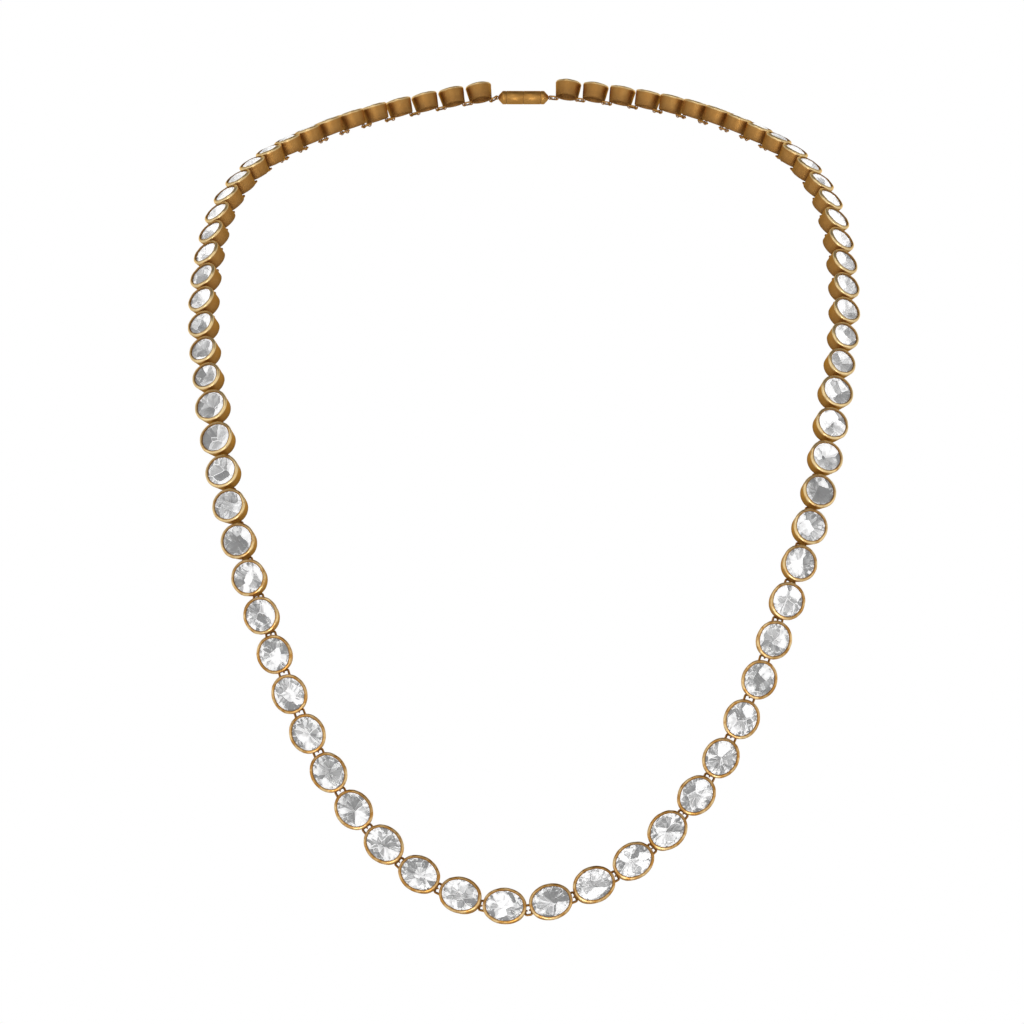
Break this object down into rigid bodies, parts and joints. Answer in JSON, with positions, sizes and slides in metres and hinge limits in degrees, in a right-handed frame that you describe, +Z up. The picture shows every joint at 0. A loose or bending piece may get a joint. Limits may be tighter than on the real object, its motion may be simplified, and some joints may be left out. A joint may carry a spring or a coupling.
{
  "type": "bezel-set necklace",
  "caption": "Graduated riviere necklace: oval and round cut stones in deep gold collets, joined by small wire links into a closed loop that keeps its worn form.",
  "frame": {"origin": "where the loop rests on the nape, on the inner side of the clasp's barrel", "axes": "+Z up as worn, front of the necklace towards -Y, +X to the wearer's left"},
  "size_m": [0.1238, 0.1061, 0.1572],
  "materials": {
    "gold": "worn hand-burnished yellow gold with darker recesses",
    "stone": "polished facets, clear and colourless"
  },
  "bodies": {
    "root": {"right_settings": "gold", "left_settings": "gold", "right_stones": "stone", "left_stones": "stone", "right_links": "gold", "left_links": "gold", "clasp": "gold"}
  },
  "joints": []
}
